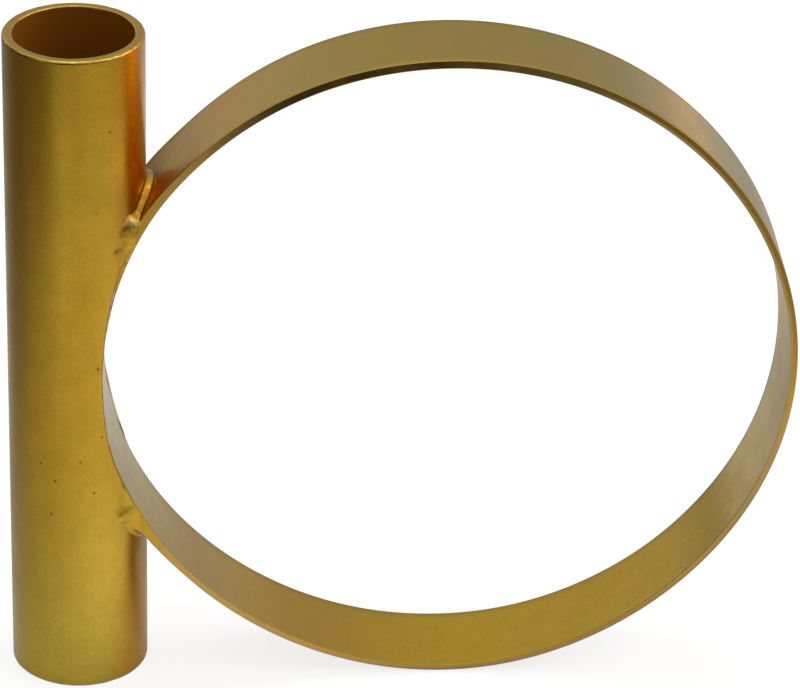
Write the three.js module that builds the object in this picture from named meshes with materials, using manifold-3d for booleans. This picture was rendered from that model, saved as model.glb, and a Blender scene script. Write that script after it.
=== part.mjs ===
// Taper candle holder: a straight steel tube with a flat-bar hoop let into one side of it and welded there,
// all under one coat of gold paint. Millimetres, +Z up, standing on z = 0.
//
// The hoop is a strap rolled into a ring. It enters the tube wall below the rim, runs down inside the bore and comes
// out again above the foot. The tube wall that would stand inside the ring is cut away, flush with the strap's inner
// face. The strap crossing the bore is what a candle comes to rest on.
import * as THREE from "three";
import { mergeVertices } from "three/addons/utils/BufferGeometryUtils.js";
import Module from "manifold-3d";

// ---- driving dimensions -------------------------------------------------------------------------------------------
const TUBE_OD = 27.0; // outside diameter of the candle tube
const TUBE_WALL = 2.0; // wall, so the bore is 23 mm and takes a 22 mm taper
const TUBE_HEIGHT = 137.5; // foot to rim
const TUBE_EDGE = 0.45; // chamfer on the deburred ends
const HOOP_OD = 136.0; // outside diameter of the hoop
const STRAP_WIDTH = 18.6; // flat bar, across the hoop (along Y)
const STRAP_THICK = 1.5; // flat bar, radially
const STRAP_EDGE = 0.35; // chamfer on the four long corners of the bar
const HOOP_OFFSET = 71.7; // tube axis to hoop centre
const HOOP_LIFT = 0.0; // hoop's lowest point above the table
const END_GAP = 2.0; // between the two ends of the strap, filled by the closing weld
const GAP = 0.3; // left between neighbouring solids
const FILLET_LEG = 4.2; // reach of the welds in the two V-shaped corners
const TACK = [2.9, 2.3, 3.2]; // half-axes of a corner tack
const NOTCH_WELD_LENGTH = 31.0; // length of each weld beside the strap, inside the wall
const TUBE_FACETS = 72;
const HOOP_FACETS = 120;

// ---- derived ------------------------------------------------------------------------------------------------------
const R = TUBE_OD / 2;
const BORE = R - TUBE_WALL;
const RO = HOOP_OD / 2;
const RI = RO - STRAP_THICK;
const HALF = STRAP_WIDTH / 2;
const XC = HOOP_OFFSET;
const ZC = RO + HOOP_LIFT;
const MIDDLE_X = (XC + RO - R) / 2; // centre of the overall length, measured from the tube axis

// ---- solids -------------------------------------------------------------------------------------------------------
const wasm = await Module();
wasm.setup();

function solid(geometry) {
  const g = geometry.clone();
  g.deleteAttribute("normal");
  g.deleteAttribute("uv");
  const merged = mergeVertices(g, 1e-4);
  return new wasm.Manifold(
    new wasm.Mesh({
      numProp: 3,
      vertProperties: new Float32Array(merged.attributes.position.array),
      triVerts: new Uint32Array(merged.index.array),
    }),
  );
}

function geometryOf(manifold) {
  const m = manifold.getMesh();
  const g = new THREE.BufferGeometry();
  const v = new Float32Array(m.numVert * 3);
  for (let i = 0; i < m.numVert; i++)
    v.set(m.vertProperties.subarray(i * m.numProp, i * m.numProp + 3), i * 3);
  g.setAttribute("position", new THREE.BufferAttribute(v, 3));
  g.setIndex(new THREE.BufferAttribute(new Uint32Array(m.triVerts), 1));
  g.computeVertexNormals();
  return g;
}

// The largest body of a cut, for beads that a cut leaves a crumb of.
function mainBody(manifold) {
  return manifold.decompose().sort((a, b) => b.volume() - a.volume())[0];
}

// A profile of [radius, height] pairs, anticlockwise, turned about the Y axis.
function turned(profile, facets, start = 0) {
  const points = profile.map(([r, h]) => new THREE.Vector2(r, h));
  points.push(points[0].clone());
  return new THREE.LatheGeometry(points, facets, start);
}

// Tube-like pieces: turned about Y, then stood up along Z.
function upright(profile, facets) {
  return turned(profile, facets).rotateX(Math.PI / 2);
}

// Hoop-like pieces: turned about Y at the hoop's centre, with a corner of the facets at the very bottom.
function aroundHoop(profile, facets = HOOP_FACETS) {
  return turned(profile, facets).translate(XC, 0, ZC);
}

function ringProfile(rIn, rOut, half, edge) {
  return [
    [rIn, -half + edge],
    [rIn + edge, -half],
    [rOut - edge, -half],
    [rOut, -half + edge],
    [rOut, half - edge],
    [rOut - edge, half],
    [rIn + edge, half],
    [rIn, half - edge],
  ];
}

function disc(radius, half) {
  return [
    [0, -half],
    [radius, -half],
    [radius, half],
    [0, half],
  ];
}

function block(x, y, z, w, d, h) {
  return solid(new THREE.BoxGeometry(w, d, h).translate(x, y, z));
}

// Strap grown by a margin on every face: the slot that it needs, and the space that a weld keeps off.
function strapSpace(margin) {
  const a = RI - margin, b = RO + margin, h = HALF + margin;
  return solid(aroundHoop([[a, -h], [b, -h], [b, h], [a, h]]));
}

// Everything inside the hoop, out to a radius.
const insideHoop = (radius, half) => solid(aroundHoop(disc(radius, half)));

// A plain round bar on the tube's axis.
const bar = (radius) =>
  solid(
    upright(
      [[0, -20], [radius, -20], [radius, TUBE_HEIGHT + 20], [0, TUBE_HEIGHT + 20]],
      TUBE_FACETS,
    ),
  );

// ---- candle tube ----------------------------------------------------------------------------------------------------
const e = TUBE_EDGE;
const wholeTube = solid(
  upright(
    [
      [BORE, e],
      [BORE + e, 0],
      [R - e, 0],
      [R, e],
      [R, TUBE_HEIGHT - e],
      [R - e, TUBE_HEIGHT],
      [BORE + e, TUBE_HEIGHT],
      [BORE, TUBE_HEIGHT - e],
    ],
    TUBE_FACETS,
  ),
);
const candleTube = mainBody(
  wholeTube.subtract(insideHoop(RI, R + 2)).subtract(strapSpace(GAP)),
);

// ---- hoop strap and the weld that closes it -------------------------------------------------------------------------
const wholeHoop = solid(aroundHoop(ringProfile(RI, RO, HALF, STRAP_EDGE)));
const joinX = XC - (RI + RO) / 2;
const hoopStrap = mainBody(
  wholeHoop.subtract(block(joinX, 0, ZC, 8, STRAP_WIDTH + 4, END_GAP)),
);
// Ground flush on the inner face, with a low crown left on the face inside the bore.
const closingWeld = mainBody(
  solid(aroundHoop(ringProfile(RI, RO + 0.5, HALF - 0.2, STRAP_EDGE))).intersect(
    block(joinX, 0, ZC, 8, STRAP_WIDTH + 4, END_GAP - 2 * GAP),
  ),
);

// ---- fillet welds in the two V corners, above and below -------------------------------------------------------------
// The joint line is where the tube's outside meets the strap's outer face.
function jointLine(side, from, to, steps) {
  const points = [];
  for (let i = 0; i <= steps; i++) {
    const a = from + ((to - from) * i) / steps;
    const x = R * Math.cos(a);
    points.push(
      new THREE.Vector3(
        x,
        R * Math.sin(a),
        ZC + side * Math.sqrt(RO * RO - (XC - x) * (XC - x)),
      ),
    );
  }
  return points;
}

const section = (radius, sides) => {
  const s = new THREE.Shape();
  for (let i = 0; i < sides; i++) {
    const a = (2 * Math.PI * i) / sides;
    i ? s.lineTo(radius * Math.cos(a), radius * Math.sin(a)) : s.moveTo(radius, 0);
  }
  s.closePath();
  return s;
};

const CORNER = Math.asin(HALF / R); // angle round the tube at which the strap's edges meet it
const filletEnd = CORNER - 0.17;

function jointFillet(side) {
  const curve = new THREE.CatmullRomCurve3(jointLine(side, -filletEnd, filletEnd, 16));
  const bead = solid(
    new THREE.ExtrudeGeometry(section(FILLET_LEG, 16), {
      extrudePath: curve,
      steps: 18,
      curveSegments: 1,
      bevelEnabled: false,
    }),
  );
  return mainBody(
    bead.subtract(bar(R + GAP)).subtract(insideHoop(RO + GAP, R + 6)),
  );
}
const upperFillet = jointFillet(1);
const lowerFillet = jointFillet(-1);

// ---- corner tacks, where the strap's edges go into the wall ----------------------------------------------------------
function cornerTack(side, face, fillet) {
  const p = jointLine(side, face * CORNER, face * CORNER, 1)[0];
  const blob = solid(
    new THREE.SphereGeometry(1, 20, 14)
      .scale(...TACK)
      .translate(p.x + 0.6, p.y, p.z + side * -0.4),
  );
  const clearOfFillet = block(p.x, face * (HALF - 5.2), p.z, 30, 10, 40); // |y| up to HALF - 0.2
  return mainBody(
    blob
      .subtract(bar(R + GAP))
      .subtract(strapSpace(GAP))
      .subtract(insideHoop(RI + 0.1, R + 8))
      .subtract(fillet)
      .subtract(clearOfFillet),
  );
}

// ---- welds beside the strap, between its edges and the bore ----------------------------------------------------------
function notchWeld(face) {
  const outer = HALF + GAP;
  const strip = solid(
    aroundHoop([[RI, outer], [RO, outer], [RO, R + 3], [RI, R + 3]]),
  );
  const onFace = face > 0 ? strip : strip.mirror([0, 1, 0]);
  return mainBody(
    onFace
      .intersect(bar(BORE - GAP))
      .intersect(block(joinX, 0, ZC, 16, 2 * R + 10, NOTCH_WELD_LENGTH)),
  );
}

// ---- the assembly ---------------------------------------------------------------------------------------------------
const gold = (color, roughness) =>
  new THREE.MeshStandardMaterial({ color, roughness, metalness: 0.9 });
const PAINT = gold(0xa8843a, 0.42);
const PAINT_HOOP = gold(0xa38547, 0.4);
const PAINT_WELD = gold(0xb0903f, 0.48);

const holder = new THREE.Group();
const weldment = new THREE.Group(); // drawn about the tube axis, then centred on the overall length
weldment.position.set(-MIDDLE_X, 0, 0);
holder.add(weldment);

function piece(name, manifold, material) {
  const mesh = new THREE.Mesh(geometryOf(manifold), material);
  mesh.name = name;
  weldment.add(mesh);
}

piece("candle_tube", candleTube, PAINT);
piece("hoop_strap", hoopStrap, PAINT_HOOP);
piece("hoop_closing_weld", closingWeld, PAINT_WELD);
piece("upper_joint_weld", upperFillet, PAINT_WELD);
piece("lower_joint_weld", lowerFillet, PAINT_WELD);
piece("upper_front_tack", cornerTack(1, -1, upperFillet), PAINT_WELD);
piece("upper_rear_tack", cornerTack(1, 1, upperFillet), PAINT_WELD);
piece("lower_front_tack", cornerTack(-1, -1, lowerFillet), PAINT_WELD);
piece("lower_rear_tack", cornerTack(-1, 1, lowerFillet), PAINT_WELD);
piece("front_notch_weld", notchWeld(-1), PAINT_WELD);
piece("rear_notch_weld", notchWeld(1), PAINT_WELD);

export default holder;
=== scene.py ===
import math

import bmesh
import bpy
import numpy as np
from mathutils import Matrix, Vector


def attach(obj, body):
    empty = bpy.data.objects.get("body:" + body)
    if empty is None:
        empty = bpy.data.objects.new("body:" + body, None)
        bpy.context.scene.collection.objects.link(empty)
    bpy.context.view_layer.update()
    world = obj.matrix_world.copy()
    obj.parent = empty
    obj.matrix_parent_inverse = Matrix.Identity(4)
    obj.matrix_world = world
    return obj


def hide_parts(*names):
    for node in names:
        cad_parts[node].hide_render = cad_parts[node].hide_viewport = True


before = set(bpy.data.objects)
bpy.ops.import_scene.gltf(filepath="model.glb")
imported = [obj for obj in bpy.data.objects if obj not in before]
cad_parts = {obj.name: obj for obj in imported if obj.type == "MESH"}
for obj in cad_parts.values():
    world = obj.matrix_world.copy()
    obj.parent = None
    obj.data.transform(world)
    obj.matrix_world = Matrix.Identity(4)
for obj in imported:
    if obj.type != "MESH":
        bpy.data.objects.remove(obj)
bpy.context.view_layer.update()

# A taper candle holder: an upright steel tube and a flat-bar hoop let into its right side, welded and painted gold.
# Lengths below are millimetres, measured from the tube's axis and the table; place() turns them into the frame's metres.
R = 13.5  # tube, outside
BORE = 11.5  # tube, inside
H = 137.5  # tube, height
XC, ZC = 71.7, 68.0  # hoop centre
RIN, ROUT = 66.5, 68.0  # strap's inner and outer faces
THICK = ROUT - RIN
HALF = 9.3  # half the strap's width
CORNERS = (0.09, 0.12, 0.34, 0.34, 1.6)  # rounding of the strap's long corners: outer front, inner front, inner rear, outer rear, roll-over
BEVEL = 0.46  # how far the sheared front edge leans back at the outer face, where it leans most
ROLL = (0.08, 1.3)  # roll-over of the outer face beside that edge: drop, and where it starts
SHIFT = np.array([63.1, 0.0, 0.0])  # tube axis to the middle of the overall length

scene = bpy.context.scene
rng = np.random.default_rng(7)


# ---- small helpers ----------------------------------------------------------------------------------------------------
def smooth(a, b, x):
    t = np.clip((np.asarray(x, float) - a) / (b - a), 0.0, 1.0)
    return t * t * (3 - 2 * t)


def unit(v):
    return v / np.maximum(np.linalg.norm(v, axis=-1, keepdims=True), 1e-12)


class Waves:
    """Smooth noise about -1 to 1: a sum of seeded plane waves with wavelengths near the given one."""

    def __init__(self, seed, wavelength, count=14):
        g = np.random.default_rng(seed)
        d = unit(g.normal(size=(count, 3)))
        self.k = d * (2 * math.pi / (wavelength * g.uniform(0.7, 1.5, (count, 1))))
        self.p = g.uniform(0, 2 * math.pi, count)
        self.n = math.sqrt(count / 2) * 1.6

    def __call__(self, p):
        p = np.asarray(p, float)
        out = np.zeros(p.shape[:-1])
        for k, ph in zip(self.k, self.p):
            out += np.sin(p @ k + ph)
        return out / self.n


# The rolled hoop isn't a perfect circle: low harmonics of its radius, in millimetres.
HARMONICS = {
    2: (0.35942, 0.04998),
    3: (0.01675, 0.10764),
    4: (0.08844, 0.09733),
    5: (0.01786, -0.06486),
}


def near_angle(th, degrees, width):
    """A soft bump about 1 high at an angle round the hoop."""
    d = np.degrees(th) - degrees
    d = (d + 180.0) % 360.0 - 180.0
    return np.exp(-((d / width) ** 2))


def out_of_round(th):
    r = 0.2 * near_angle(th, 148.0, 9.0) - 0.15 * near_angle(th, 186.0, 12.0)
    for n, (a, b) in HARMONICS.items():
        r = r + a * np.cos(n * th) + b * np.sin(n * th)
    return r


def lip(th, y):
    """The tube's cut on the front side was dressed back a little above the middle."""
    front = 0.62 * near_angle(th, 161.0, 9.5) + 0.33 * near_angle(th, 159.0, 5.5) - 0.1 * near_angle(th, 178.0, 6.0)
    return front * smooth(-9.2, -9.8, y) - 0.22 * near_angle(th, 195.0, 11.0) * smooth(9.4, 10.2, y)


def strap_extra(th):
    """The bar is a little wider away from the tube, most of all at the foot."""
    return 0.15 * (1 - near_angle(th, 180.0, 55.0)) + 0.35 * near_angle(th, 274.0, 26.0)


def front_lean(th):
    """How far the front edge leans back at the outer face: less towards the upper joint."""
    deg = np.degrees(th) % 360.0
    return BEVEL - 0.34 * smooth(112.0, 140.0, deg) * smooth(215.0, 185.0, deg)


def front_profile(th, u):
    """Set-back of the front edge at a share u of the bar's thickness, and its slope. Down the right side only the
    outer part of the edge leans."""
    d = (np.degrees(th) + 180.0) % 360.0 - 180.0
    right = smooth(74.0, 56.0, d) * smooth(-60.0, -20.0, d)
    v = np.clip((u - 0.42) / 0.58, 0, 1)
    back = front_lean(th) * u * (1 - right) + right * 0.30 * v
    slope = front_lean(th) * (1 - right) + right * 0.30 / 0.58 * (v > 0)
    return back, slope


def strap_swell(th, y):
    """Weld metal that has run out along the strap's outer face, beside the tube."""
    rad = ROUT + out_of_round(th)
    a = np.hypot(XC + rad * np.cos(th), y) - R
    front, rear = smooth(3.0, 8.6, -y), smooth(3.0, 8.6, y)
    amount = np.where(np.sin(th) > 0, 0.8 - 0.35 * front + 0.2 * rear, 0.7 + 0.2 * front - 0.1 * rear)
    return amount * np.exp(-((np.maximum(a, 0) / 5.6) ** 2)) * smooth(-2.6, -0.8, a)


def place(v):
    return (np.asarray(v, float) - SHIFT) * 0.001


def grid_faces(idx, flip=False):
    a, b, c, d = idx[:-1, :-1], idx[1:, :-1], idx[1:, 1:], idx[:-1, 1:]
    q = np.stack([a, b, c, d], -1).reshape(-1, 4)
    return q[:, ::-1] if flip else q


def make_piece(name, verts, quads, normals, node, material, marks=None, caps=()):
    """A painted piece from a grid of quads and any end caps, standing for one node of the frame."""
    verts, quads = np.asarray(verts, float), np.asarray(quads, int)
    if normals is not None:  # wind every face to agree with the normals of its corners
        normals = unit(np.asarray(normals, float))
        a, b, c, d = (verts[quads[:, i]] for i in range(4))
        turn = np.sum(np.cross(c - a, d - b) * normals[quads].sum(1), -1)
        quads = np.where(turn[:, None] < 0, quads[:, ::-1], quads)
    me = bpy.data.meshes.new(name)
    me.from_pydata(place(verts).tolist(), [], quads.tolist() + [list(map(int, f)) for f in caps])
    me.update()
    if caps or normals is None:
        bm = bmesh.new()
        bm.from_mesh(me)
        bmesh.ops.recalc_face_normals(bm, faces=bm.faces[:])
        bm.to_mesh(me)
        bm.free()
    me.polygons.foreach_set("use_smooth", [True] * len(me.polygons))
    for key, values in (marks or {}).items():
        at = me.attributes.new(key, "FLOAT", "POINT")
        at.data.foreach_set("value", np.asarray(values, np.float32))
    if normals is not None:
        me.normals_split_custom_set_from_vertices(normals.tolist())
    ob = bpy.data.objects.new(name, me)
    scene.collection.objects.link(ob)
    me.materials.append(material)
    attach(ob, "root")
    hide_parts(node)
    return ob


# ---- paint ------------------------------------------------------------------------------------------------------------
class Nodes:
    def __init__(self, tree):
        self.tree = tree
        tree.nodes.clear()

    def add(self, kind, **props):
        n = self.tree.nodes.new(kind)
        for k, v in props.items():
            setattr(n, k, v)
        return n

    def link(self, a, b):
        self.tree.links.new(a, b)

    def math(self, op, a, b=None, clamp=False):
        n = self.add("ShaderNodeMath", operation=op, use_clamp=clamp)
        for i, v in enumerate((a, b)):
            if v is None:
                continue
            if isinstance(v, (int, float)):
                n.inputs[i].default_value = v
            else:
                self.link(v, n.inputs[i])
        return n.outputs[0]

    def noise(self, coords, scale, detail=2.0, rough=0.5):
        n = self.add("ShaderNodeTexNoise")
        n.inputs["Scale"].default_value = scale
        n.inputs["Detail"].default_value = detail
        n.inputs["Roughness"].default_value = rough
        self.link(coords, n.inputs["Vector"])
        return n.outputs["Fac"]

    def ramp(self, fac, stops):
        n = self.add("ShaderNodeValToRGB")
        e = n.color_ramp.elements
        while len(e) < len(stops):
            e.new(0.5)
        for el, (pos, col) in zip(e, stops):
            el.position = pos
            el.color = (*col, 1.0) if len(col) == 3 else col
        self.link(fac, n.inputs["Fac"])
        return n.outputs["Color"]

    def range(self, v, a, b, c, d):
        n = self.add("ShaderNodeMapRange", interpolation_type="SMOOTHSTEP")
        self.link(v, n.inputs["Value"])
        for key, val in (("From Min", a), ("From Max", b), ("To Min", c), ("To Max", d)):
            n.inputs[key].default_value = val
        return n.outputs["Result"]

    def mix(self, fac, a, b, kind="MIX"):
        n = self.add("ShaderNodeMix", data_type="RGBA", blend_type=kind)
        for socket, v in ((n.inputs[0], fac), (n.inputs[6], a), (n.inputs[7], b)):
            if isinstance(v, (int, float)):
                socket.default_value = v
            elif isinstance(v, tuple):
                socket.default_value = (*v, 1.0)
            else:
                self.link(v, socket)
        return n.outputs[2]


GOLD = (0.53, 0.31, 0.016)
SHEEN_TONE = (0.45, 0.30, 0.034)  # painted sheen: the pale tone shown at a glancing angle on the rim and the hoop's outer face, in place of the coat's reflection
WARM_REFLECTION = (0.53, 0.290, 0.024)  # painted reflection: a redder tone on parts of the hoop, round the upper joint and beyond, for orange light reflected there
ORANGE_REFLECTION = (0.63, 0.270, 0.006)  # painted reflection of the gold hoop: redder still on the tube beside the upper joint
BORE_BROWN = (0.365, 0.125, 0.003)  # thin overspray on the inside of the tube


def shade(c, s, warm=0.0):
    return (c[0] * s * (1 + warm), c[1] * s, c[2] * s * (1 - 2.5 * warm))


def gold_paint(name, rough=0.30, grain=1.0, wear_and_highlight_mix=0.08, pits=(), shade_patches=(), chip=0.15, gloss=-0.03, bare=0.0, bore=False):
    mat = bpy.data.materials.new(name)
    mat.use_nodes = True
    t = Nodes(mat.node_tree)
    out = t.add("ShaderNodeOutputMaterial")
    bsdf = t.add("ShaderNodeBsdfPrincipled")
    bsdf.inputs["Metallic"].default_value = 1.0
    bsdf.inputs["Specular Tint"].default_value = (1.0, 1.0, 0.95, 1.0)
    bsdf.inputs["Coat Weight"].default_value = 0.32
    bsdf.inputs["Coat Roughness"].default_value = 0.22
    t.link(bsdf.outputs[0], out.inputs[0])
    co = t.add("ShaderNodeTexCoord").outputs["Object"]

    # colour: broad warm and green-gold drifts, then a finer mottle, then the flake
    drift = t.noise(co, 38.0, 2.0, 0.5)
    mottle = t.noise(co, 170.0, 3.0, 0.55)
    flake = t.noise(co, 3600.0, 2.0, 0.6)
    base = t.ramp(
        drift,
        [
            (0.30, shade(GOLD, 0.96, -0.04)),
            (0.50, GOLD),
            (0.70, shade(GOLD, 1.02, 0.04)),
        ],
    )
    # the tube is yellower towards the table and redder at the upper left; its redder upper right and low right are
    # painted reflection of the gold hoop
    sep = t.add("ShaderNodeSeparateXYZ")
    t.link(co, sep.inputs[0])
    x, z = sep.outputs[0], sep.outputs[2]
    foot = t.range(z, 0.005, 0.060, 0.9, 0.0)
    upper_right = t.math("MULTIPLY", t.range(z, 0.092, 0.106, 0.0, 1.0), t.range(x, -0.0578, -0.0525, 0.0, 1.0))
    upper_left = t.math("MULTIPLY", t.range(z, 0.090, 0.115, 0.0, 1.0), t.range(x, -0.0705, -0.067, 1.0, 0.0))
    lower_right = t.math("MULTIPLY", t.range(z, 0.024, 0.034, 0.9, 0.0), t.range(x, -0.058, -0.0520, 0.0, 1.0))
    if not bore:  # a weld takes after the tube, painted reflections included, where it lies against it
        wall = t.add("ShaderNodeAttribute", attribute_name="wall").outputs["Fac"]
        foot, upper_right, lower_right = (t.math("MULTIPLY", f, wall) for f in (foot, upper_right, lower_right))
        inner = t.add("ShaderNodeAttribute", attribute_name="inner").outputs["Fac"]
        base = t.mix(inner, base, (0.54, 0.325, 0.002))
    base = t.mix(foot, base, (0.50, 0.36, 0.036))
    base = t.mix(upper_right, base, ORANGE_REFLECTION)
    # painted reflection of the hoop low on the tube's right
    base = t.mix(lower_right, base, (0.52, 0.26, 0.012))
    if bore:
        base = t.mix(upper_left, base, (0.53, 0.262, 0.012))

    # mottle over it all, then the flake
    peel = t.noise(co, 620.0, 2.0, 0.5)
    speckle = t.noise(co, 1500.0, 2.0, 0.6)
    base = t.mix(1.0, base, t.ramp(mottle, [(0.30, (1.015, 1.025, 1.03)), (0.72, (0.945, 0.935, 0.91))]), "MULTIPLY")
    base = t.mix(1.0, base, t.ramp(peel, [(0.30, (0.97, 0.965, 0.95)), (0.70, (1.03, 1.035, 1.05))]), "MULTIPLY")
    base = t.mix(1.0, base, t.ramp(speckle, [(0.28, (0.955, 0.95, 0.94)), (0.72, (1.045, 1.05, 1.06))]), "MULTIPLY")
    base = t.mix(1.0, base, t.ramp(flake, [(0.35, (0.985, 0.985, 0.985)), (0.70, (1.06, 1.06, 1.06))]), "MULTIPLY")

    # painted sheen: a pale bloom that shows at a glancing angle, in place of the coat's reflection
    glance_sheen = t.add("ShaderNodeAttribute", attribute_name="glance_sheen").outputs["Fac"]
    glance_sheen = t.math("MULTIPLY", glance_sheen, t.range(mottle, 0.2, 0.8, 1.0, 0.7))
    glance = t.add("ShaderNodeLayerWeight")
    glance.inputs["Blend"].default_value = 0.5
    glance_sheen = t.math("MULTIPLY", glance_sheen, t.range(glance.outputs["Facing"], 0.15, 0.45, 0.0, 1.0))
    painted_sheen = t.ramp(t.noise(co, 75.0, 2.0, 0.5), [(0.36, (0.42, 0.305, 0.031)), (0.50, SHEEN_TONE), (0.64, (0.48, 0.290, 0.039))])
    base = t.mix(glance_sheen, base, painted_sheen)
    if not bore:
        # painted reflection: a redder tone where the hoop shows orange reflections
        warm = t.add("ShaderNodeAttribute", attribute_name="warm").outputs["Fac"]
        base = t.mix(t.math("MULTIPLY", warm, 0.8), base, WARM_REFLECTION)

    # painted shade beside the tacks: a painted shadow under the upper lump, and darkening in a dent and on a bump's
    # flank
    ragged = t.noise(co, 700.0, 3.0, 0.6)
    for centre, size, strength in shade_patches:
        d = t.add("ShaderNodeVectorMath", operation="SUBTRACT")
        t.link(co, d.inputs[0])
        d.inputs[1].default_value = tuple(place(centre))
        e = t.add("ShaderNodeVectorMath", operation="DIVIDE")
        t.link(d.outputs[0], e.inputs[0])
        e.inputs[1].default_value = tuple(0.001 * c for c in size)
        far = t.add("ShaderNodeVectorMath", operation="LENGTH")
        t.link(e.outputs[0], far.inputs[0])
        near = t.range(t.math("ADD", far.outputs["Value"], t.range(ragged, 0.3, 0.7, -0.3, 0.3)), 0.35, 1.15, strength, 0.0)
        base = t.mix(near, base, (0.52, 0.47, 0.28), "MULTIPLY")

    # the strap's sheared front edge is drawn paler
    if not bore:
        sheared = t.add("ShaderNodeAttribute", attribute_name="sheared").outputs["Fac"]
        base = t.mix(t.math("MULTIPLY", sheared, 0.8), base, (0.57, 0.36, 0.095))

    # thin, brighter paint on the worn corners, partly a painted highlight along the edges and on the upper tack's lump
    edge = t.add("ShaderNodeAttribute", attribute_name="edge").outputs["Fac"]
    chips = t.noise(co, 900.0, 3.0, 0.6)
    wear_and_highlight = t.math("MULTIPLY", edge, t.range(chips, 0.38, 0.66, chip, 1.0))
    base = t.mix(t.math("MULTIPLY", wear_and_highlight, wear_and_highlight_mix), base, (0.74, 0.54, 0.16))
    rear = t.add("ShaderNodeAttribute", attribute_name="rear").outputs["Fac"]  # painted shade: darker on the far corners and in patches of the hoop
    base = t.mix(t.math("MULTIPLY", rear, 0.6), base, (0.20, 0.165, 0.07))

    # a few pinholes and nits in the coat
    spots = None
    for (px, py, pz), size in pits:
        d = t.add("ShaderNodeVectorMath", operation="DISTANCE")
        t.link(co, d.inputs[0])
        d.inputs[1].default_value = tuple(place((px, py, pz)))
        s = t.range(d.outputs["Value"], size * 0.0004, size * 0.001, 1.0, 0.0)
        spots = s if spots is None else t.math("MAXIMUM", spots, s)
    cell = t.add("ShaderNodeTexVoronoi", feature="F1")
    cell.inputs["Scale"].default_value = 210.0
    t.link(co, cell.inputs["Vector"])
    speck = t.range(cell.outputs["Distance"], 0.025, 0.055, 1.0, 0.0)
    chance = t.add("ShaderNodeSeparateColor")
    t.link(cell.outputs["Color"], chance.inputs[0])
    speck = t.math("MULTIPLY", speck, t.math("GREATER_THAN", chance.outputs[0], 0.80))
    speck = t.math("MULTIPLY", speck, 0.25)
    spots = speck if spots is None else t.math("MAXIMUM", spots, speck)
    base = t.mix(t.math("MULTIPLY", spots, 0.6), base, shade(GOLD, 0.30, 0.05))

    if bare:  # spatter on the tack: grainy and pale, less of a mirror
        t.link(t.range(wear_and_highlight, 0.0, 1.0, 1.0, 1.0 - bare), bsdf.inputs["Metallic"])
    if bore:  # the spray hardly reached inside: brown, and not much of a metal
        inside = t.add("ShaderNodeAttribute", attribute_name="bore").outputs["Fac"]
        base = t.mix(inside, base, BORE_BROWN)
        t.link(t.range(inside, 0.0, 1.0, 1.0, 0.25), bsdf.inputs["Metallic"])
    t.link(base, bsdf.inputs["Base Color"])

    # gloss: satin, rougher in patches
    r = t.range(mottle, 0.25, 0.75, rough - 0.03, rough + 0.04)
    r = t.math("ADD", r, t.math("MULTIPLY", spots, 0.2))
    r = t.math("ADD", r, t.math("MULTIPLY", wear_and_highlight, gloss))
    heat = t.math("MULTIPLY", upper_right, t.range(z, 0.107, 0.116, 0.12, 0.0))
    r = t.math("ADD", r, heat)  # dulled by the heat of the weld
    if bore:
        r = t.math("ADD", r, t.math("MULTIPLY", inside, 0.2))
    t.link(r, bsdf.inputs["Roughness"])

    # relief: orange peel, flake grain and the pinholes
    fine = t.noise(co, 4200.0, 2.0, 0.6)
    height = t.math("MULTIPLY", peel, 1.0)
    b1 = t.add("ShaderNodeBump")
    b1.inputs["Strength"].default_value = 0.24
    b1.inputs["Distance"].default_value = 0.00006
    t.link(height, b1.inputs["Height"])
    b2 = t.add("ShaderNodeBump")
    b2.inputs["Strength"].default_value = 0.30 * grain
    b2.inputs["Distance"].default_value = 0.00003
    t.link(fine, b2.inputs["Height"])
    t.link(b1.outputs[0], b2.inputs["Normal"])
    b3 = t.add("ShaderNodeBump")
    b3.invert = True
    b3.inputs["Strength"].default_value = 0.5
    b3.inputs["Distance"].default_value = 0.0001
    t.link(spots, b3.inputs["Height"])
    t.link(b2.outputs[0], b3.inputs["Normal"])
    t.link(b3.outputs[0], bsdf.inputs["Normal"])
    return mat


# Small pinholes in the tube's coat: place, and size in millimetres.
TUBE_PITS = [
    ((6.69, -11.72, 122.35), 0.42),
    ((-4.46, -12.74, 47.31), 0.45),
    ((0.44, -13.49, 51.99), 0.34),
    ((-5.33, -12.40, 39.62), 0.40),
    ((3.09, -13.14, 44.75), 0.36),
    ((4.08, -12.87, 72.29), 0.46),
    ((4.73, -12.64, 57.06), 0.40),
    ((-7.14, -11.46, 50.64), 0.36),
]
SHADE_PATCHES = [  # painted shade patches: centre, half-sizes, strength
    ((9.9, -9.5, 100.2), (2.4, 2.2, 1.5), 0.80),
    ((8.05, -10.84, 96.75), (1.3, 1.3, 0.6), 0.70),
    ((8.8, -10.2, 39.2), (2.4, 2.4, 1.1), 0.50),
]
tube_paint = gold_paint("tube_paint", rough=0.26, wear_and_highlight_mix=0.6, pits=TUBE_PITS, shade_patches=SHADE_PATCHES, gloss=-0.12, bore=True)
hoop_paint = gold_paint("hoop_paint", rough=0.28, wear_and_highlight_mix=0.02)
weld_paint = gold_paint("weld_paint", rough=0.29, grain=1.3, wear_and_highlight_mix=0.72, shade_patches=SHADE_PATCHES, chip=0.4, gloss=0.06, bare=0.48)


# ---- candle tube ------------------------------------------------------------------------------------------------------
# The wall is a grid laid out from the notch that the hoop's inner face cuts in it to the two rims and a seam at the back.
NT, NS = 132, 88  # grid steps along a rim, and along the seam
NLOOP = 2 * (NT + NS)
ALPHA = (np.arange(NLOOP) - NS / 2) * (2 * math.pi / NLOOP)
edge_wave = Waves(21, 6.0)


def cut_radius(th, y, rho):
    """Radius of the cut about the hoop's centre: flush with the strap's inner face, and set back where the strap hides it."""
    hidden = smooth(9.25, 8.8, np.abs(y))
    pts = np.stack([rho * np.ones_like(th), np.sign(y) * 40.0, th * 66.0], -1)
    ragged = 0.07 * edge_wave(pts) * smooth(9.4, 10.4, np.abs(y))
    return RIN + out_of_round(th) + 0.7 * hidden + ragged + lip(th, y)


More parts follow.
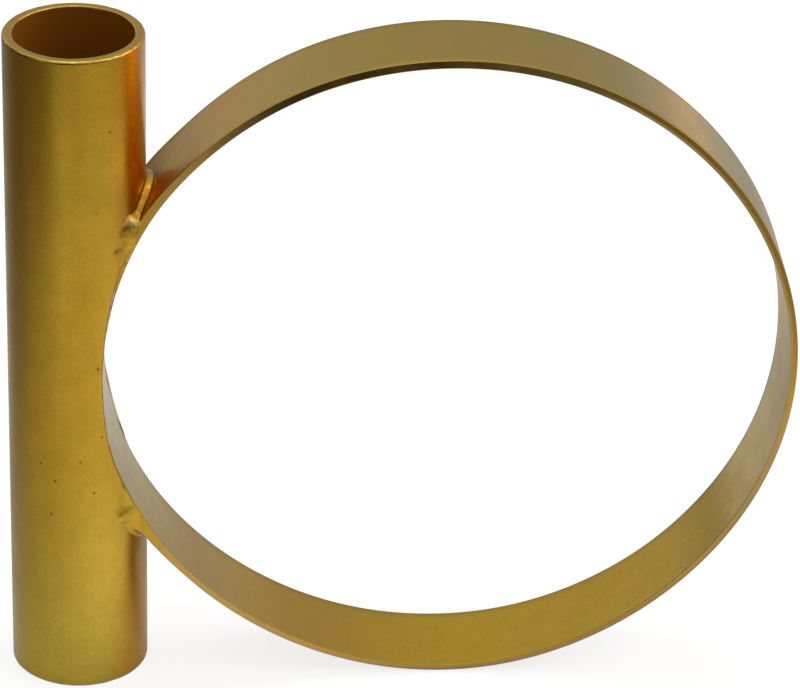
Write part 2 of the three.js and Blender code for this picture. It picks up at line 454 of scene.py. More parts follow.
def notch_loop(rho):
    def reach(sign):
        lo, hi = 0.0, 1.2
        for _ in range(60):
            mid = (lo + hi) / 2
            th = np.array([math.pi - sign * mid])
            x = XC + (RIN + 0.7 + out_of_round(th))[0] * math.cos(th[0])
            lo, hi = (mid, hi) if x < rho else (lo, mid)
        return lo

    up, down = reach(1), reach(-1)
    s = np.sin(ALPHA)
    th = math.pi - np.where(s > 0, up, down) * s
    rc = RIN + out_of_round(th)
    side = np.where(np.cos(ALPHA) >= 0, 1.0, -1.0)
    for _ in range(8):
        x = XC + rc * np.cos(th)
        y = side * np.sqrt(np.maximum(rho * rho - x * x, 0.0))
        rc = cut_radius(th, y, rho)
    x = np.minimum(XC + rc * np.cos(th), rho)
    y = side * np.sqrt(np.maximum(rho * rho - x * x, 0.0))
    return np.stack([x, y, ZC + rc * np.sin(th)], -1)


def around(a):
    return (np.roll(a, -1, 0) - np.roll(a, 1, 0)) / 2


def notch_frame(loop, outward):
    """Edge tangent, wall normal, cut-face normal, and the directions along the wall and along the cut face."""
    tangent = unit(around(loop))
    wall = unit(loop * np.array([1, 1, 0])) * outward
    centre = np.array([XC, 0, ZC])
    cut = unit((centre - loop) * np.array([1, 0, 1]))
    cut = unit(cut - tangent * np.sum(cut * tangent, -1, keepdims=True))
    along_wall = unit(np.cross(wall, tangent))
    along_wall *= np.sign(-np.sum(along_wall * cut, -1, keepdims=True))
    along_cut = unit(np.cross(cut, tangent))
    along_cut *= np.sign(-np.sum(along_cut * wall, -1, keepdims=True))
    return tangent, wall, cut, along_wall, along_cut


def soft_edge(loop, outward, size, steps):
    """Rings of a rounded edge from the wall to the cut face, with normals."""
    tangent, wall, cut, w, b = notch_frame(loop, outward)
    rings = []
    for i in range(steps + 1):
        s = i / steps
        p = loop + size * ((1 - s) ** 2 * w + s**2 * b)
        d = -(1 - s) * w + s * b
        n = unit(np.cross(tangent, d))
        n *= np.sign(np.sum(n * (wall * (1 - s) + cut * s), -1, keepdims=True))
        rings.append((p, n))
    return rings


def rim_table(nk):
    """For each loop point, where its grid line ends on the unrolled wall: angle, and height from 0 to 1."""
    k = np.arange(NLOOP)
    ang = np.empty(NLOOP)
    lev = np.empty(NLOOP)
    right, top = k <= NS, (k >= NS) & (k <= NS + NT)
    left, bottom = (k >= NS + NT) & (k <= 2 * NS + NT), k >= 2 * NS + NT
    ang[right], lev[right] = math.pi, k[right] / NS
    ang[left], lev[left] = -math.pi, 1 - (k[left] - NS - NT) / NS
    ang[top], lev[top] = math.pi * (1 - 2 * (k[top] - NS) / NT), 1.0
    ang[bottom], lev[bottom] = math.pi * (-1 + 2 * (k[bottom] - 2 * NS - NT) / NT), 0.0
    return ang, lev


RIM_ANGLE, RIM_LEVEL = rim_table(NLOOP)
TOP_OUT, TOP_IN, FOOT_OUT, FOOT_IN = 0.60, 0.33, 0.45, 0.30  # roundings of the two ends
EDGE_OUT, EDGE_IN = 0.55, 0.25  # roundings of the notch


class Builder:
    def __init__(self):
        self.v, self.n, self.f, self.count = [], [], [], 0
        # marks: edges, the painted sheen and the bore
        self.marks = {"edge": [], "glance_sheen": [], "bore": []}

    def add(self, p, n, edge=0.0, glance_sheen=0.0, bore=0.0):
        p = np.asarray(p, float).reshape(-1, 3)
        idx = np.arange(self.count, self.count + len(p))
        self.v.append(p)
        self.n.append(np.broadcast_to(np.asarray(n, float), p.shape))
        for key, value in (("edge", edge), ("glance_sheen", glance_sheen), ("bore", bore)):
            self.marks[key].append(np.broadcast_to(np.asarray(value, float), (len(p),)))
        self.count += len(p)
        return idx

    def strip(self, a, b, closed=True, flip=False):
        if closed:
            a, b = np.append(a, a[0]), np.append(b, b[0])
        self.f.append(grid_faces(np.stack([a, b]), flip))

    def arrays(self):
        return np.concatenate(self.v), np.concatenate(self.f), np.concatenate(self.n), {k: np.concatenate(m) for k, m in self.marks.items()}


def dents(p, n):
    """Shallow marks in the outside of the wall: place, half-lengths round and up, depth."""
    marks = [((8.43, -10.55, 96.8), 1.2, 0.5, 0.17)]
    out = p.copy()
    nor = n.copy()
    up = np.array([0, 0, 1.0])
    for c, hw, hh, depth in marks:
        c = np.array(c)
        axis = unit(c * np.array([1, 1, 0]))
        side = np.cross(up, axis)
        u, v = (p - c) @ side / hw, (p - c) @ up / hh
        near = np.exp(-(u * u + v * v)) * ((p - c) @ axis > -3)
        out = out - n * (depth * near)[:, None]
        gu, gv = depth * near * 2 * u / hw, depth * near * 2 * v / hh
        nor = nor - gu[:, None] * side - gv[:, None] * up
    return out, unit(nor)


def build_tube():
    b = Builder()
    ang_seam = np.array([NT + 2 * NS - k if NS + NT <= k <= 2 * NS + NT else k for k in range(NLOOP)])

    def wall(radius, outward, loop_p, loop_n, z0, z1, rings, push):
        phi0, z_in = np.arctan2(loop_p[:, 1], loop_p[:, 0]), loop_p[:, 2]
        z_rim = z0 + (z1 - z0) * RIM_LEVEL
        t = np.linspace(0, 1, rings + 1)
        t = (np.exp(push * t) - 1) / (math.exp(push) - 1)
        rows = []
        for j, tj in enumerate(t):
            phi = phi0 + (RIM_ANGLE - phi0) * tj
            z = z_in + (z_rim - z_in) * tj
            n = np.stack([np.cos(phi), np.sin(phi), 0 * phi], -1)
            p = n * radius + np.stack([0 * z, 0 * z, z], -1)
            if outward > 0:
                p, n = dents(p, n)
            rows.append(b.add(p, n * outward, bore=1.0 if outward < 0 else 0.0))
        rows[-1] = rows[-1][ang_seam]
        for lo, hi in zip(rows[:-1], rows[1:]):
            b.strip(lo, hi, True, outward > 0)
        return rows

    outer_loop, inner_loop = notch_loop(R), notch_loop(BORE)
    out_edge, in_edge = soft_edge(outer_loop, 1, EDGE_OUT, 7), soft_edge(inner_loop, -1, EDGE_IN, 4)

    def on_cylinder(p, radius):
        q = np.hypot(p[:, 0], p[:, 1])
        return p * np.stack([radius / q, radius / q, 1 + 0 * q], -1)

    start_out = on_cylinder(out_edge[0][0], R)
    start_in = on_cylinder(in_edge[0][0], BORE)
    outer = wall(R, 1, start_out, None, FOOT_OUT, H - TOP_OUT, 84, 2.0)
    inner = wall(BORE, -1, start_in, None, FOOT_IN, H - TOP_IN, 40, 1.6)

    # the notch: outer rounding, cut face, inner rounding
    rows = [outer[0]]
    for i, (p, n) in enumerate(out_edge[1:]):
        rows.append(b.add(p, n, math.sin(math.pi * (i + 1) / 7)))
    p0, p1 = out_edge[-1][0], in_edge[-1][0]
    n0, n1 = out_edge[-1][1], in_edge[-1][1]
    for s in (0.25, 0.5, 0.75):
        rows.append(b.add(p0 + (p1 - p0) * s, unit(n0 + (n1 - n0) * s)))
    for p, n in reversed(in_edge[1:]):
        rows.append(b.add(p, n))
    rows.append(inner[0])
    for a, c in zip(rows[:-1], rows[1:]):
        b.strip(a, c, True, False)

    # the two ends, rounded and a little uneven from filing
    filing = Waves(33, 9.0)
    runs = Waves(34, 2.2)

    def end(z, sign, ro, ri, row_out, row_in, span):
        k = np.arange(*span)
        ids_out, ids_in = row_out[k % NLOOP], row_in[k % NLOOP]
        phi = RIM_ANGLE[k % NLOOP]
        c = np.stack([np.cos(phi), np.sin(phi), 0 * phi], -1)
        up = np.array([0, 0, sign * 1.0])
        rows = [ids_out]
        prof = []
        for a in np.linspace(0, math.pi / 2, 8)[1:]:
            prof.append((R - ro + ro * math.cos(a), ro * math.sin(a) - ro, math.cos(a), math.sin(a), math.sin(2 * a)))
        for s in (0.33, 0.66):
            prof.append((R - ro + (BORE + ri - R + ro) * s, 0.0, 0.0, 1.0, 0.0))
        for a in np.linspace(math.pi / 2, 0, 7)[:-1]:
            prof.append((BORE + ri - ri * math.cos(a), ri * math.sin(a) - ri, -math.cos(a), math.sin(a), math.sin(2 * a)))
        for rad, dz, nr, nz, e in prof:
            uneven = 0.035 * filing(c * rad + up * 30) * nz
            zz = z + sign * (dz + np.minimum(uneven, 0.0) * 1.0)
            p = c * rad + np.stack([0 * zz, 0 * zz, zz], -1)
            # paint has gathered unevenly along the outer corner
            run = runs(c * R + up * 7) * (nr > 0) * 2 * nr * nz
            p = p - (0.03 * (0.7 - run) * (nr > 0) * 2 * nr * nz)[:, None] * (c * nr + up * nz)
            slope = around(run) * len(run) / (2 * math.pi * R)
            side = np.stack([-c[:, 1], c[:, 0], 0 * phi], -1) * np.sign(phi[0] - phi[1]) * -1.0
            lift = c * nr * (1 - 0.13 * run[:, None]) + up * (nz * (1 + 0.13 * run[:, None])) - side * (0.05 * slope)[:, None]
            # the painted sheen mark goes on the top end's flat
            rows.append(b.add(p, unit(lift), e, glance_sheen=smooth(0.75, 1.0, nz) * (sign > 0)))
        rows.append(ids_in)
        for lo, hi in zip(rows[:-1], rows[1:]):
            lo = np.append(lo[:-1], lo[0]) if len(lo) == NT + 1 else np.append(lo, lo[0])
            hi = np.append(hi[:-1], hi[0]) if len(hi) == NT + 1 else np.append(hi, hi[0])
            b.f.append(grid_faces(np.stack([lo, hi]), True))

    end(H, 1, TOP_OUT, TOP_IN, outer[-1], inner[-1], (NS, NS + NT))
    end(0.0, -1, FOOT_OUT, FOOT_IN, outer[-1], inner[-1], (2 * NS + NT, 2 * NS + 2 * NT))
    v, f, n, marks = b.arrays()
    return make_piece("candle_tube_painted", v, f, n, "candle_tube", tube_paint, marks)


# ---- hoop ---------------------------------------------------------------------------------------------------------------
def strap_section(half, thick, face_steps=10, corner_steps=5):
    """The bar's outline as rows of (y, radial offset from the inner face, normal y, normal radial, corner mark)."""
    pts = np.array([(-half + BEVEL, thick - ROLL[0]), (-half, 0.0), (half, 0.0), (half, thick), (-half + ROLL[1], thick)])
    rows = []
    for i, rad in enumerate(CORNERS):
        p, prev, nxt = pts[i], pts[i - 1], pts[(i + 1) % 5]
        u, v = unit(prev - p), unit(nxt - p)
        half_angle = math.acos(float(u @ v)) / 2
        centre = p + unit(u + v) * rad / math.sin(half_angle)
        n0, n1 = np.array([-u[1], u[0]]), np.array([v[1], -v[0]])
        a0 = math.atan2(n0[1], n0[0])
        turn = (math.atan2(n1[1], n1[0]) - a0) % (2 * math.pi)
        for s in np.linspace(0, 1, corner_steps + 1):
            a = a0 + s * turn
            ny, nr = math.cos(a), math.sin(a)
            rows.append((centre[0] + rad * ny, centre[1] + rad * nr, ny, nr, math.sin(math.pi * s)))
        steps = face_steps if i % 2 else (9 if i == 0 else 3)
        far = nxt - v * min(CORNERS[(i + 1) % 5], 0.35) * 1.2
        here = np.array(rows[-1][:2])
        for s in np.linspace(0, 1, steps + 1)[1:-1]:
            q = here + (far - here) * s
            rows.append((q[0], q[1], n1[0], n1[1], 0.0))
    return np.array(rows)


roll_wave = Waves(5, 34.0)


def sweep_strap(th, section, swell=None):
    """Positions and normals of a section carried round the hoop."""
    y, r, ny, nr, mark = section.T
    T = th[:, None]
    base = RIN + out_of_round(th)[:, None] + r[None, :]
    Y = np.broadcast_to(y[None, :], base.shape) * (1 + strap_extra(T) / HALF)
    share = np.clip(r / THICK, 0, 1)[None, :]
    Y = Y + (front_profile(T, share)[0] - BEVEL * share) * smooth(-HALF + 2.6, -HALF + 0.7, y)[None, :]
    flat = np.stack([66 * np.cos(T) + 0 * Y, Y, 66 * np.sin(T) + 0 * Y], -1)
    base = base + 0.022 * roll_wave(flat)
    if swell is not None:
        base = base + swell(T, Y, r[None, :])
    p = np.stack([XC + base * np.cos(T), Y, ZC + base * np.sin(T)], -1)
    n = np.stack([nr[None, :] * np.cos(T), ny[None, :] + 0 * T, nr[None, :] * np.sin(T)], -1)
    return p, n, np.broadcast_to(mark[None, :], base.shape)


GAP_ANGLE = 1.0 / 67.25


def build_hoop():
    sec = strap_section(HALF, THICK)
    th = np.linspace(-math.pi + GAP_ANGLE, math.pi - GAP_ANGLE, 961)

    def swell(T, Y, r):
        return strap_swell(T + 0 * Y, Y + 0 * T) * np.clip(r / THICK, 0, 1)

    p, n, mark = sweep_strap(th, sec, swell)
    # normals take in the slow change of radius and the run-out weld metal
    T, Y = th[:, None] + 0 * sec[None, :, 0], 0 * th[:, None] + sec[None, :, 0]
    share = np.clip(sec[:, 1] / THICK, 0, 1)[None, :]
    dth = (strap_swell(T + 0.002, Y) - strap_swell(T - 0.002, Y)) / 0.004 * share / 67.0
    dy = (strap_swell(T, Y + 0.1) - strap_swell(T, Y - 0.1)) / 0.2 * share
    dr = np.gradient(out_of_round(th), th)[:, None, None] / 67.0 + dth[..., None]
    tang = np.stack([-np.sin(th), 0 * th, np.cos(th)], -1)[:, None, :]
    radial = np.stack([np.cos(th), 0 * th, np.sin(th)], -1)[:, None, :]
    lean = np.sum(n * radial, -1, keepdims=True)
    n = unit(n - lean * (dr * tang + dy[..., None] * np.array([0.0, 1.0, 0.0])))
    # the front edge faces out as its own lean has it
    on_front = ((sec[:, 2] < -0.8) & (sec[:, 4] < 0.01))[None, :, None]
    tall = THICK - ROLL[0] + strap_swell(T, Y)
    tilt = np.arctan2(front_profile(T, share + 0 * T)[1], tall)[..., None]
    n = np.where(on_front, np.array([0.0, -1.0, 0.0]) * np.cos(tilt) + radial * np.sin(tilt), n)
    m = len(sec)
    idx = np.arange(len(th) * m).reshape(len(th), m)
    closed = np.concatenate([idx, idx[:, :1]], 1)
    caps = [idx[0], idx[-1][::-1]]
    outer_face = np.broadcast_to(smooth(0.7, 1.0, sec[:, 3])[None, :], mark.shape)
    inner_face = np.broadcast_to(smooth(0.5, 1.0, -sec[:, 3])[None, :], mark.shape)
    deg = np.degrees(th)[:, None] + 0 * outer_face
    # painted shade: dark lines along the strap's far corners
    painted_shade = np.broadcast_to(smooth(HALF - 0.75, HALF - 0.2, sec[:, 0])[None, :], mark.shape)
    # painted reflection: redder on the outer face near the upper joint, on part of the inner face and on the front
    # edge's leaning part
    warm = outer_face * smooth(120.0, 130.0, deg) + inner_face * smooth(-152.0, -140.0, deg) * smooth(-98.0, -112.0, deg)
    front_edge = smooth(0.7, 0.9, -sec[:, 2])[None, :]
    right = smooth(74.0, 56.0, deg) * smooth(-20.0, 0.0, deg)
    leaning = right * smooth(0.40, 0.52, sec[:, 1] / THICK)[None, :]
    sheared = front_edge * smooth(28.0, 40.0, 180.0 - np.abs(deg)) * (1 - leaning)
    warm = warm + front_edge * leaning
    # painted shade: the same darkening down the front edge's right side, low on the left and at the right inside, and
    # in two patches outside
    painted_shade = painted_shade + 0.75 * front_edge * (1 - leaning) * smooth(-45.0, -28.0, deg) * smooth(80.0, 66.0, deg)
    painted_shade = painted_shade + 0.6 * inner_face * smooth(-179.0, -173.0, deg) * smooth(-120.0, -138.0, deg)
    painted_shade = painted_shade + 0.6 * inner_face * smooth(-34.0, -22.0, deg) * smooth(8.0, -6.0, deg)
    patch = smooth(27.0, 33.0, deg) * smooth(47.0, 42.0, deg) + smooth(51.0, 55.0, deg) * smooth(68.0, 60.0, deg)
    painted_shade = painted_shade + 0.35 * outer_face * patch
    # marks: edges, painted shade, painted sheen, the inner face, painted reflection and the paler front edge
    marks = {"edge": mark, "rear": painted_shade, "glance_sheen": outer_face, "inner": inner_face, "warm": warm, "sheared": sheared}
    marks = {k: m.reshape(-1) for k, m in marks.items()}
    return make_piece("hoop_strap_painted", p.reshape(-1, 3), grid_faces(closed), n.reshape(-1, 3), "hoop_strap", hoop_paint, marks, caps)


def build_closing_weld():
    """Across the strap's ends: dressed flush inside the hoop, a low crown left on the face in the bore."""
    sec = strap_section(HALF - 0.12, THICK, 26, 5)
    th = math.pi + np.linspace(-1.32, 1.32, 31) / 67.25
    ripple = Waves(12, 2.2)

    def swell(T, Y, r):
        s = (T - math.pi) * 67.25
        crown = 0.55 * np.clip(1 - (s / 1.35) ** 2, 0, 1)
        pts = np.stack([s + 0 * Y, Y, 0 * Y + 3.0 + 0 * s], -1)
        out = (crown * (1 + 0.35 * ripple(pts)) - 0.03) * smooth(0.8, 1.2, r + 0 * T)
        inn = (-0.018 * np.clip(1 - (s / 1.2) ** 2, 0, 1) + 0.012) * smooth(0.7, 0.3, r + 0 * T)
        return out + inn

    p, n, mark = sweep_strap(th, sec, swell)
    m = len(sec)
    idx = np.arange(len(th) * m).reshape(len(th), m)
    closed = np.concatenate([idx, idx[:, :1]], 1)
    caps = [idx[0], idx[-1][::-1]]
    return make_piece("hoop_closing_weld_painted", p.reshape(-1, 3), grid_faces(closed), None, "hoop_closing_weld", weld_paint, {"edge": 0 * mark.reshape(-1)}, caps)


# ---- welds as fields ------------------------------------------------------------------------------------------------------
# A weld is a level set: the corner between tube and strap filled by a fillet, with beads and lumps of metal joined on.
def hoop_polar(p):
    dx, dz = p[..., 0] - XC, p[..., 2] - ZC
    return np.hypot(dx, dz), np.arctan2(dz, dx)


def soft_max(a, b, k):
    return np.maximum(a, b) + np.maximum(k - np.abs(a - b), 0) ** 2 / (4 * k)


def soft_min(a, b, k):
    return np.minimum(a, b) - np.maximum(k - np.abs(a - b), 0) ** 2 / (4 * k)


def fillet(a, b, k, power):
    """Union of two solids with the corner filled to a reach k; power 1 is a flat weld face, 2 a hollow one."""
    ua, ub = np.maximum(k - a, 0), np.maximum(k - b, 0)
    filled = k - (ua**power + ub**power) ** (1 / power)
    return np.where((a > k) & (b > k), np.minimum(a, b), filled)


def tube_field(p):
    q = np.hypot(p[..., 0], p[..., 1])
    r, th = hoop_polar(p)
    cut = RIN + out_of_round(th) + lip(th, p[..., 1]) - r
    return soft_max(q - R, cut, 0.6)


def strap_field(p):
    r, th = hoop_polar(p)
    y = p[..., 1]
    rad = r - RIN - out_of_round(th)
    thick = THICK + strap_swell(th, np.clip(y, -HALF, HALF))
    soft = 0.2
    u = np.abs(rad - thick / 2) - (thick / 2 - soft)
    slant = front_lean(th) * np.clip(rad / (thick - ROLL[0]), 0, 1)
    w = np.maximum(y - HALF, -y - HALF + slant) + soft
    return np.hypot(np.maximum(u, 0), np.maximum(w, 0)) + np.minimum(np.maximum(u, w), 0) - soft


def slope_of(field, p):
    o = 0.02
    return unit(np.stack([field(p + o * np.eye(3)[i]) - field(p - o * np.eye(3)[i]) for i in range(3)], -1))


def surface_net(field, lo, hi, h):
    lo, hi = np.asarray(lo, float), np.asarray(hi, float)
    n = np.ceil((hi - lo) / h).astype(int) + 1
    axes = [lo[i] + h * np.arange(n[i]) for i in range(3)]
    g = np.stack(np.meshgrid(*axes, indexing="ij"), -1)
    v = field(g)
    s = v < 0
    m = n - 1
    count = np.zeros(m, int)
    acc = np.zeros((*m, 3))
    hits = np.zeros(m)

    def corner(a, d):
        return a[tuple(slice(d[i], d[i] + m[i]) for i in range(3))]

    for d in np.ndindex(2, 2, 2):
        count += corner(s, d)
    for ax in range(3):
        for d in np.ndindex(2, 2, 2):
            if d[ax]:
                continue
            e = tuple(1 if i == ax else d[i] for i in range(3))
            v0, v1 = corner(v, d), corner(v, e)
            cross = (v0 < 0) != (v1 < 0)
            t = np.where(cross, v0 / np.where(cross, v0 - v1, 1), 0)
            pos = corner(g, d) + (np.arange(3) == ax) * (t * h)[..., None]
            acc += pos * cross[..., None]
            hits += cross
    active = (count > 0) & (count < 8)
    ids = -np.ones(m, int)
    ids[active] = np.arange(active.sum())
    verts = acc[active] / hits[active][:, None]
    quads = []
    for ax in range(3):
        b, c = (ax + 1) % 3, (ax + 2) % 3
        lo_s = [slice(1, n[i] - 1) for i in range(3)]
        lo_s[ax] = slice(0, n[ax] - 1)
        hi_s = list(lo_s)
        hi_s[ax] = slice(1, n[ax])
        s0, s1 = s[tuple(lo_s)], s[tuple(hi_s)]
        where = np.argwhere(s0 != s1)
        if not len(where):
            continue
        flip = s1[s0 != s1]
        cell = where + np.array([0 if i == ax else 1 for i in range(3)])
        eb, ec = np.eye(3, dtype=int)[b], np.eye(3, dtype=int)[c]
        q = np.stack([ids[tuple((cell - eb - ec).T)], ids[tuple((cell - ec).T)], ids[tuple(cell.T)], ids[tuple((cell - eb).T)]], -1)
        q[flip] = q[flip][:, ::-1]
        quads.append(q)
    quads = np.concatenate(quads)

    def grad(p):
        o = 0.01
        return np.stack([(field(p + o * np.eye(3)[i]) - field(p - o * np.eye(3)[i])) / (2 * o) for i in range(3)], -1)

    for _ in range(5):
        gr = grad(verts)
        step = field(verts)[:, None] * gr / np.maximum(np.sum(gr * gr, -1, keepdims=True), 0.05)
        verts = verts - np.clip(step, -0.3 * h, 0.3 * h)
    return verts, quads, unit(grad(verts))


SINK = 0.03  # how far a weld's skin lies under the tube and the strap beside it
PROUD = 0.05  # and how far over them close to the joint
bead_wave = Waves(41, 1.5)
lump_wave = Waves(42, 0.8, 22)
slow_wave = Waves(43, 5.0)


# Metal left where the front tacks were struck: centre, half-axes round the tube, out from it and up, how softly it joins.
UPPER_LUMPS = [
    ((9.75, -8.10, 100.2), (1.9, 1.55, 2.5), 1.3),
    ((10.5, -8.55, 100.95), (1.8, 1.6, 1.85), 1.2),
]
LOWER_LUMPS = [((8.6, -9.35, 37.4), (2.4, 1.05, 1.2), 1.3)]


def lump_distance(p, c, axes):
    c = np.array(c)
    out = unit(c * np.array([1, 1, 0]))
    frame3 = np.stack([np.array([-out[1], out[0], 0]), out, np.array([0, 0, 1.0])])
    q = (p - c) @ frame3.T / np.array(axes)
    return (np.linalg.norm(q, axis=-1) - 1) * min(axes)


def weld_skin(p, upper):
    """The whole deposit at the upper or lower joint, before it is split into fillet and tacks."""
    y, z = p[..., 1], p[..., 2]
    a, b = tube_field(p), strap_field(p)
    close = smooth(2.6, 0.9, np.maximum(a, b)) * (smooth(89.0, 91.5, z) * smooth(99.5, 97.0, z) if upper else smooth(47.0, 44.5, z))
    a, b = a + SINK - (SINK + PROUD) * close, b + SINK - (SINK + PROUD) * close
    front, rear = smooth(3.0, 8.6, -y), smooth(3.0, 8.6, y)
    at_edge = smooth(8.7, 9.2, np.abs(y))
    if upper:
        above = smooth(95.0, 99.5, z)
        k = (1.45 - 0.05 * front + 0.1 * rear + 0.12 * slow_wave(p)) * above + 0.05
        k = k + 1.3 * at_edge * smooth(89.8, 93.0, z) * (1 - above)
        power, ripple = 1.16, 0.02
    else:
        below = smooth(42.0, 37.5, z)
        k = (1.5 + 0.7 * front + 0.3 * rear + 0.1 * slow_wave(p)) * below + 0.05
        k = k + 1.3 * at_edge * smooth(46.2, 43.0, z) * (1 - below)
        power, ripple = 1.9, 0.015
    f = fillet(a, b, k, power)
    body = smooth(0.03, 0.35, np.minimum(a, b) - f)
    f = f - ripple * bead_wave(p) * body
    f = f + 0.3 * (np.maximum(a - k, 0) + np.maximum(b - k, 0)) * (1 - close)  # out of sight beyond the deposit
    for i, (c, axes, join) in enumerate(UPPER_LUMPS if upper else LOWER_LUMPS):
        f = soft_min(f, lump_distance(p, c, axes) + (0.026 if upper and i else 0.01) * lump_wave(p), join)
    return f


def weld_field(upper, part):
    """part is joint, front or rear: the same skin, each sinking under its neighbour where they meet."""

    def field(p):
        f = weld_skin(p, upper)
        y = p[..., 1]
        if part == "joint":
            f = f + 0.6 * np.maximum(np.abs(y) - 9.05, 0)
        else:
            t = -y if part == "front" else y
            f = f - 0.012 + 0.6 * np.maximum(8.8 - t, 0)
            f = np.maximum(f, 8.2 - t)
        tube, strap = tube_field(p), strap_field(p)
        r, th = hoop_polar(p)
        q = np.hypot(p[..., 0], y)
        f = np.maximum(f, -(np.minimum(tube, strap) + 0.45))
        f = np.maximum(f, R - 0.7 - q)
        return soft_max(f, RIN + 0.12 + out_of_round(th) + lip(th, y) - r, 0.25)

    return field


def build_weld(name, node, upper, part):
    lo, hi = {"joint": ((8.0, -9.9, 91.0), (18.0, 9.9, 110.5)), "front": ((6.2, -11.8, 88.5), (15.5, -7.9, 107.5)), "rear": ((6.2, 7.9, 88.5), (15.5, 11.8, 107.5))}[part]
    if not upper:
        lo, hi = (*lo[:2], 136.0 - hi[2]), (*hi[:2], 136.0 - lo[2])
    v, f, n = surface_net(weld_field(upper, part), lo, hi, 0.26 if part == "joint" else 0.18)
    # where the skin thins out its shading runs into that of the tube or the strap below
    a, b = tube_field(v), strap_field(v)
    wa, wb = 1 - smooth(0.0, 0.2, a), 1 - smooth(0.0, 0.2, b)
    wa, wb = (wa * (1 - wb))[:, None], (wb * (1 - wa))[:, None]
    n = unit(n * (1 - wa - wb) + slope_of(tube_field, v) * wa + slope_of(strap_field, v) * wb)
    wall = smooth(-0.6, 0.6, b - a) * smooth(0.9, 0.1, a)
    # painted highlight on the upper front tack's lump, passed on in the edge mark
    lump_highlight = smooth(1.3, 0.3, lump_distance(v, *UPPER_LUMPS[1][:2])) * smooth(101.2, 101.8, v[:, 2]) * (part == "front" and upper)
    return make_piece(name, v, f, n, node, weld_paint, {"edge": lump_highlight, "wall": wall})


def build_notch_weld(name, node, side):
    """Fills the slit between the strap's edge and the wall, flush with the hoop's inner face, rough on the bore side."""
    reach = 17.5 / 66.0
    th = math.pi + np.linspace(-reach, reach, 141)
    ripple = Waves(51 + side, 2.4)
    rc = RIN + out_of_round(th)
    x = XC + rc * np.cos(th)
    wall = np.sqrt(np.maximum(BORE**2 - x**2, 0))
    y0 = np.full_like(th, HALF - 0.5)
    y1 = np.maximum(wall + 0.55, HALF + 0.1)
    steps = 18
    s = np.linspace(0, 1, steps + 1)
    rows_p = []
    taper = np.sqrt(np.clip(1 - ((th - math.pi) / reach) ** 2, 0, 1))[:, None]
    Y = y0[:, None] + (y1 - y0)[:, None] * s[None, :]
    T = th[:, None]
    pts = np.stack([66 * T + 0 * Y, Y, 0 * Y], -1)
    inner = rc[:, None] + 0.012 + 0.016 * ripple(pts)
    bulge = np.clip(4 * s * (1 - s), 0, 1)[None, :]
    outer = rc[:, None] + 0.35 + taper * (0.75 + 0.55 * bulge * (1 + 0.35 * ripple(pts + 9.0)))

    def at(rad):
        return np.stack([XC + rad * np.cos(T), side * Y, ZC + rad * np.sin(T)], -1)

    a, c = at(inner), at(outer)
    n0 = a.shape[0] * a.shape[1]
    ia = np.arange(n0).reshape(a.shape[:2])
    ic = ia + n0
    loop = np.concatenate([ia, ic[:, ::-1], ia[:, :1]], 1)
    caps = [np.concatenate([ia[0], ic[0][::-1]]), np.concatenate([ia[-1], ic[-1][::-1]])]
    v = np.concatenate([a.reshape(-1, 3), c.reshape(-1, 3)])
    return make_piece(name, v, grid_faces(loop), None, node, weld_paint, {"edge": np.zeros(len(v)), "inner": np.repeat([1.0, 0.0], n0)}, caps)


build_tube()
build_hoop()
build_closing_weld()
for upper, word in ((True, "upper"), (False, "lower")):
    build_weld(word + "_joint_weld_painted", word + "_joint_weld", upper, "joint")
    build_weld(word + "_front_tack_painted", word + "_front_tack", upper, "front")
    build_weld(word + "_rear_tack_painted", word + "_rear_tack", upper, "rear")
build_notch_weld("front_notch_weld_painted", "front_notch_weld", -1)
build_notch_weld("rear_notch_weld_painted", "rear_notch_weld", 1)


# ---- camera -------------------------------------------------------------------------------------------------------------
def set_camera():
    c = np.array([6.6832, -749.96718, 486.21582])
    yaw, pitch, roll, f = 0.07492, 0.50529, 0.02929, 4396.09462
    fwd = np.array([math.sin(yaw) * math.cos(pitch), math.cos(yaw) * math.cos(pitch), -math.sin(pitch)])
    right = np.array([math.cos(yaw), -math.sin(yaw), 0.0])
    up = np.cross(right, fwd)
    r2 = math.cos(roll) * right + math.sin(roll) * up
    u2 = -math.sin(roll) * right + math.cos(roll) * up
    data = bpy.data.cameras.new("camera")
    data.sensor_fit = "HORIZONTAL"
    data.sensor_width = 36.0
    data.lens = f * 36.0 / 800.0
    data.clip_start, data.clip_end = 0.01, 50.0
    cam = bpy.data.objects.new("camera", data)
    m = Matrix.Identity(4)
    loc = place(c)
    for i in range(3):
        m[i][0], m[i][1], m[i][2], m[i][3] = r2[i], u2[i], -fwd[i], loc[i]
    cam.matrix_world = m
    scene.collection.objects.link(cam)
    scene.camera = cam


set_camera()


# ---- floor and light ------------------------------------------------------------------------------------------------------
def flat_sheet(name, half, material):
    me = bpy.data.meshes.new(name)
    me.from_pydata([(-half, -half, 0), (half, -half, 0), (half, half, 0), (-half, half, 0)], [], [(0, 1, 2, 3)])
    ob = bpy.data.objects.new(name, me)
    scene.collection.objects.link(ob)
    me.materials.append(material)
    return ob


def build_floor():
    """A plain white table. It is lit from below as well, so it shows only a faint shadow."""
    mat = bpy.data.materials.new("floor_white")
    mat.use_nodes = True
    t = Nodes(mat.node_tree)
    out = t.add("ShaderNodeOutputMaterial")
    d = t.add("ShaderNodeBsdfDiffuse")
    d.inputs["Color"].default_value = (0.32, 0.32, 0.32, 1)
    e = t.add("ShaderNodeEmission")
    e.inputs["Color"].default_value = (1, 1, 1, 1)
    e.inputs["Strength"].default_value = 0.80
    both = t.add("ShaderNodeAddShader")
    t.link(d.outputs[0], both.inputs[0])
    t.link(e.outputs[0], both.inputs[1])
    t.link(both.outputs[0], out.inputs[0])
    floor = flat_sheet("floor", 6.0, mat)
    floor.visible_glossy = False


